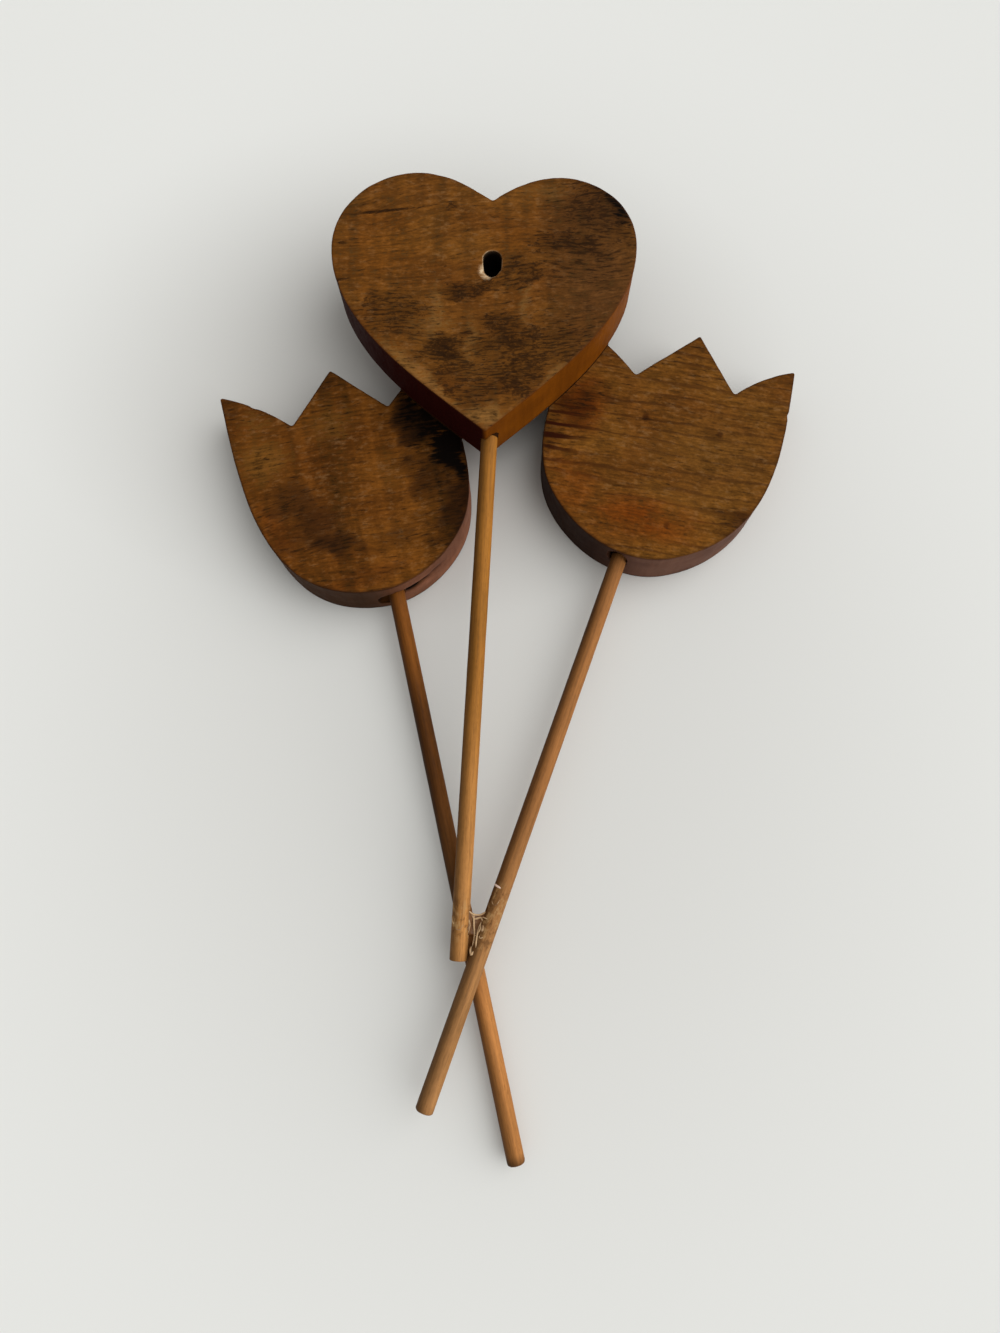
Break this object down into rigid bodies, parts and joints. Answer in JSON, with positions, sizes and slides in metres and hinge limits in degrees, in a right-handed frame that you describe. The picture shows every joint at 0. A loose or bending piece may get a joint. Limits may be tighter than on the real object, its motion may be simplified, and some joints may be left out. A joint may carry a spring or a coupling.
{
  "type": "wooden flower bouquet wall ornament",
  "caption": "Flat wall bouquet of sawn wooden tulips and a heart blossom on crossed dowel stems, glued together, with a hanging hole through the heart.",
  "frame": {"origin": "centre of the bouquet's outline, on the plane of the tulips' backs", "axes": "the bouquet lies on its back: +Z out of its face, +Y from the stems up to the heart, +X to the viewer's right"},
  "size_m": [0.213, 0.3415, 0.0383],
  "materials": {
    "stained_board": "rough-sawn, thin brown stain",
    "dowel": "smooth, thin honey stain",
    "glue": "dried glue, satin"
  },
  "bodies": {
    "root": {"heart": "stained_board", "left_tulip": "stained_board", "right_tulip": "stained_board", "heart_stem": "dowel", "left_stem": "dowel", "right_stem": "dowel", "crossing_glue": "glue", "left_lap_glue": "glue", "right_lap_glue": "glue", "heart_socket_glue": "glue", "left_socket_glue": "glue", "right_socket_glue": "glue"}
  },
  "joints": []
}
